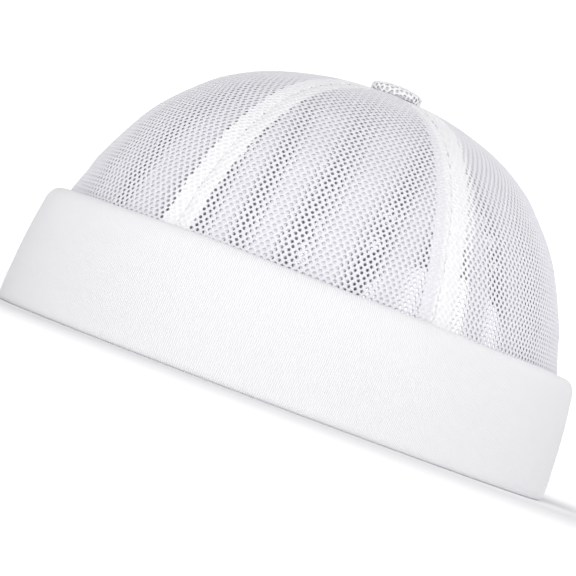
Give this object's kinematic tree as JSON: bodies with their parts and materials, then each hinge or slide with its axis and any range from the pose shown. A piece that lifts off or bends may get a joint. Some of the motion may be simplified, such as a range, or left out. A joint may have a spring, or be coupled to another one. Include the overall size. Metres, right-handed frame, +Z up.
{
  "type": "mesh beanie",
  "caption": "Brimless cap with a net crown in gores, a turned-up cuff and an open back closed by a strap with a lever buckle.",
  "frame": {"origin": "on the floor under the middle of the whole hat, at the height of the rim", "axes": "+X to the wearer's left as the hat faces -Y, +Y towards the back opening, +Z up"},
  "size_m": [0.176, 0.2019, 0.1078],
  "materials": {
    "net": "white open net, matt",
    "seam_tape": "white woven tape, matt",
    "jersey": "white jersey with fine upright ribs, matt",
    "twill": "off-white twill, matt",
    "strap_cotton": "pale grey-lilac cotton, matt",
    "nickel": "polished nickel plate"
  },
  "bodies": {
    "hat": {"crown_panel_1": "net", "crown_panel_2": "net", "crown_panel_3": "net", "crown_panel_4": "net", "crown_panel_5": "net", "crown_panel_6": "net", "seam_tape_1": "seam_tape", "seam_tape_2": "seam_tape", "seam_tape_3": "seam_tape", "seam_tape_4": "seam_tape", "seam_tape_5": "seam_tape", "seam_tape_6": "seam_tape", "crown_button": "net", "cuff": "jersey", "sweatband": "twill", "opening_binding": "strap_cotton", "strap_left": "strap_cotton", "strap_right": "strap_cotton", "eyelet": "nickel", "buckle_tray": "nickel"},
    "lever": {"buckle_lever": "nickel"}
  },
  "joints": [
    {"name": "lever_hinge", "type": "hinge", "parent": "hat", "child": "lever", "pos_m": [0.008, 0.09863, 0.00932], "axis": [0, 0.1662, -0.9861], "range_deg": [0, 100]}
  ]
}
